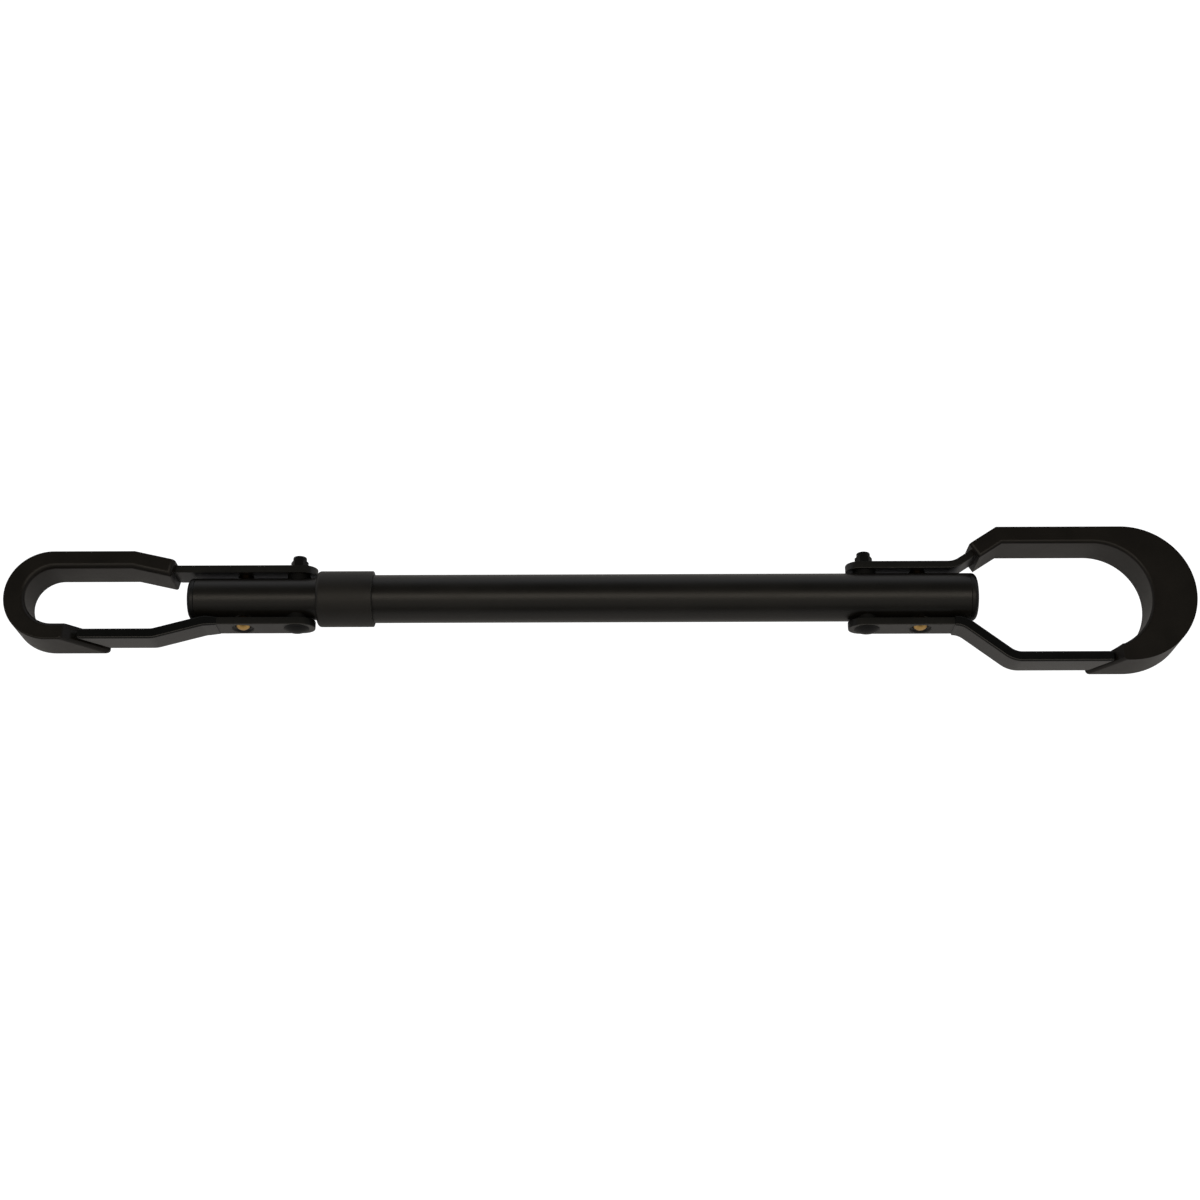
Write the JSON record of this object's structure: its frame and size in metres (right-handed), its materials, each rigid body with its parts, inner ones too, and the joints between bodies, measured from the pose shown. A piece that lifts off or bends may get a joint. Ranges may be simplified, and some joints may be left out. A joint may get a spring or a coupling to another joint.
{
  "type": "bicycle frame adapter bar",
  "caption": "Telescoping steel bar with a gated, rubber-covered hook at each end, clipped between a bicycle's seat post and stem so that a hanging rack can hold the frame.",
  "frame": {"origin": "on the axis of the tubes, at half the length of the closed bar, inside the stretch of main tube that a rack's arms hold", "axes": "+X along the tubes towards the large hook, +Y in the plane of the hooks away from the gates, +Z out of that plane, the way the gates swing open"},
  "size_m": [0.6226, 0.0742, 0.0296],
  "materials": {
    "tube_paint": "satin black powder coat",
    "bar_paint": "satin black paint",
    "hook_rubber": "moulded black rubber, satin",
    "gate_vinyl": "dip-moulded black vinyl",
    "collar_plastic": "matte black",
    "plug_plastic": "matte black",
    "nylon": "black nylon",
    "black_zinc": "black finish",
    "brass": "turned, satin",
    "spring_steel": "oiled spring steel"
  },
  "bodies": {
    "main_bar": {"main_tube": "tube_paint", "tube_collar": "collar_plastic", "main_tube_plug": "plug_plastic", "large_pivot_bolt": "black_zinc", "large_lock_nut": "black_zinc", "large_upper_saddle": "nylon", "large_lower_saddle": "nylon", "large_hook_bar": "bar_paint", "large_hook_cover": "hook_rubber", "large_snap_spring": "spring_steel", "return_spring": "spring_steel"},
    "sliding_end": {"inner_tube": "tube_paint", "inner_guide": "nylon", "inner_tube_plug": "plug_plastic", "small_pivot_bolt": "black_zinc", "small_lock_nut": "black_zinc", "small_upper_saddle": "nylon", "small_lower_saddle": "nylon", "small_hook_bar": "bar_paint", "small_hook_cover": "hook_rubber", "small_snap_spring": "spring_steel"},
    "small_gate": {"small_gate_bar": "bar_paint", "small_gate_sleeve": "gate_vinyl"},
    "large_gate": {"large_gate_bar": "bar_paint", "large_gate_sleeve": "gate_vinyl"},
    "small_upper_button": {"small_upper_button": "brass"},
    "small_lower_button": {"small_lower_button": "brass"},
    "large_upper_button": {"large_upper_button": "brass"},
    "large_lower_button": {"large_lower_button": "brass"}
  },
  "joints": [
    {"name": "telescope", "type": "slide", "parent": "main_bar", "child": "sliding_end", "axis": [-1, 0, 0], "range_m": [0, 0.19], "stiffness_N_per_m": 150, "springref_m": -0.1, "deforming": ["return_spring"]},
    {"name": "small_gate_swing", "type": "hinge", "parent": "sliding_end", "child": "small_gate", "pos_m": [-0.1591, -0.01445, 0], "axis": [0, 1, 0], "range_deg": [0, 95], "deforming": ["small_lower_button"]},
    {"name": "large_gate_swing", "type": "hinge", "parent": "main_bar", "child": "large_gate", "pos_m": [0.1398, -0.01585, 0], "axis": [0, -1, 0], "range_deg": [0, 180], "deforming": ["large_lower_button"]},
    {"name": "small_upper_button_press", "type": "slide", "parent": "sliding_end", "child": "small_upper_button", "axis": [0, -1, 0], "range_m": [0, 0.0047], "stiffness_N_per_m": 800, "springref_m": -0.006, "deforming": ["small_snap_spring"]},
    {"name": "small_lower_button_press", "type": "slide", "parent": "sliding_end", "child": "small_lower_button", "axis": [0, 1, 0], "range_m": [0, 0.0047], "stiffness_N_per_m": 800, "springref_m": -0.006, "deforming": ["small_snap_spring"]},
    {"name": "large_upper_button_press", "type": "slide", "parent": "main_bar", "child": "large_upper_button", "axis": [0, -1, 0], "range_m": [0, 0.0047], "stiffness_N_per_m": 800, "springref_m": -0.006, "deforming": ["large_snap_spring"]},
    {"name": "large_lower_button_press", "type": "slide", "parent": "main_bar", "child": "large_lower_button", "axis": [0, 1, 0], "range_m": [0, 0.0047], "stiffness_N_per_m": 800, "springref_m": -0.006, "deforming": ["large_snap_spring"]}
  ]
}
